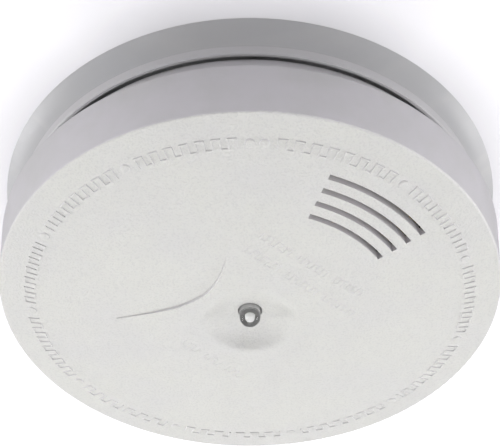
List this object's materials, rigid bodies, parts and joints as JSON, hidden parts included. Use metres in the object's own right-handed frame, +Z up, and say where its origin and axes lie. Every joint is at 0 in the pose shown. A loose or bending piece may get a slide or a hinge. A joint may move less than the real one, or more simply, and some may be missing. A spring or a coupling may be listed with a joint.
{
  "type": "smoke detector",
  "caption": "Round ceiling smoke alarm with a twist-lock base, a domed cover with arc-shaped sound slots and a clear light-guide test button.",
  "frame": {"origin": "middle of the mounting base's back face, on the ceiling", "axes": "+Z up into the ceiling along the alarm's axis; the sound slots lie towards +X and -Y; the screw slots of the base lie on the Y axis"},
  "size_m": [0.1182, 0.1182, 0.0364],
  "materials": {
    "housing": "smooth moulded",
    "cover": "fine spark-eroded texture",
    "screw": "zinc plated",
    "label": "blank paper-faced film",
    "battery": "shrink sleeve, plain",
    "terminal": "nickel plated",
    "contact": "nickel plated strip",
    "lever": "red moulded",
    "steel": "ground pin",
    "spring": "bright wire",
    "board": "green solder mask",
    "chip": "black moulded",
    "capacitor": "sleeved can",
    "resistor": "lacquered",
    "ferrite": "ferrite drum",
    "chamber": "black matt moulded",
    "dark_lens": "dark clear epoxy",
    "mesh": "fine mesh",
    "foam": "closed-cell foam",
    "horn": "grey moulded",
    "brass": "rolled sheet",
    "ceramic": "fired ceramic",
    "light_guide": "clear moulded acrylic",
    "plunger": "black moulded",
    "led": "red tinted epoxy"
  },
  "bodies": {
    "base": {"mounting_base": "housing"},
    "head": {"cover": "cover", "rear_housing": "housing", "housing_screws": "screw", "rating_label": "label", "battery_contacts": "contact", "lever_pin": "steel", "lever_spring": "spring", "circuit_board": "board", "board_screws": "screw", "control_chip": "chip", "driver_chip": "chip", "capacitors": "capacitor", "resistors": "resistor", "horn_coil": "ferrite", "chamber_base": "chamber", "ir_emitter": "dark_lens", "photodiode": "dark_lens", "insect_screen": "mesh", "chamber_cover": "chamber", "horn_gasket": "foam", "horn_housing": "horn", "piezo_disc": "brass", "piezo_ceramic": "ceramic", "piezo_contacts": "spring", "button_spring": "spring", "test_switch": "chip", "status_led": "led"},
    "button": {"test_button": "light_guide", "switch_plunger": "plunger"},
    "battery": {"battery_case": "battery", "battery_terminals": "terminal"},
    "lever": {"interlock_lever": "lever"}
  },
  "joints": [
    {"name": "head_twist", "type": "hinge", "parent": "base", "child": "head", "pos_m": [0, 0, 0], "axis": [0, 0, -1], "range_deg": [0, 12]},
    {"name": "test_button_press", "type": "slide", "parent": "head", "child": "button", "axis": [0, 0, 1], "range_m": [0, 0.0008], "stiffness_N_per_m": 800, "springref_m": -0.0006, "deforming": ["button_spring"]},
    {"name": "battery_lift", "type": "slide", "parent": "head", "child": "battery", "axis": [0, 0, 1], "range_m": [0, 0.03]},
    {"name": "interlock_swing", "type": "hinge", "parent": "head", "child": "lever", "pos_m": [-0.025, -0.019, -0.0236], "axis": [1, 0, 0], "range_deg": [0, 60]}
  ],
  "couplings": [
    {"joint": "interlock_swing", "follows": "battery_lift", "rad_per_m": 34.9}
  ]
}
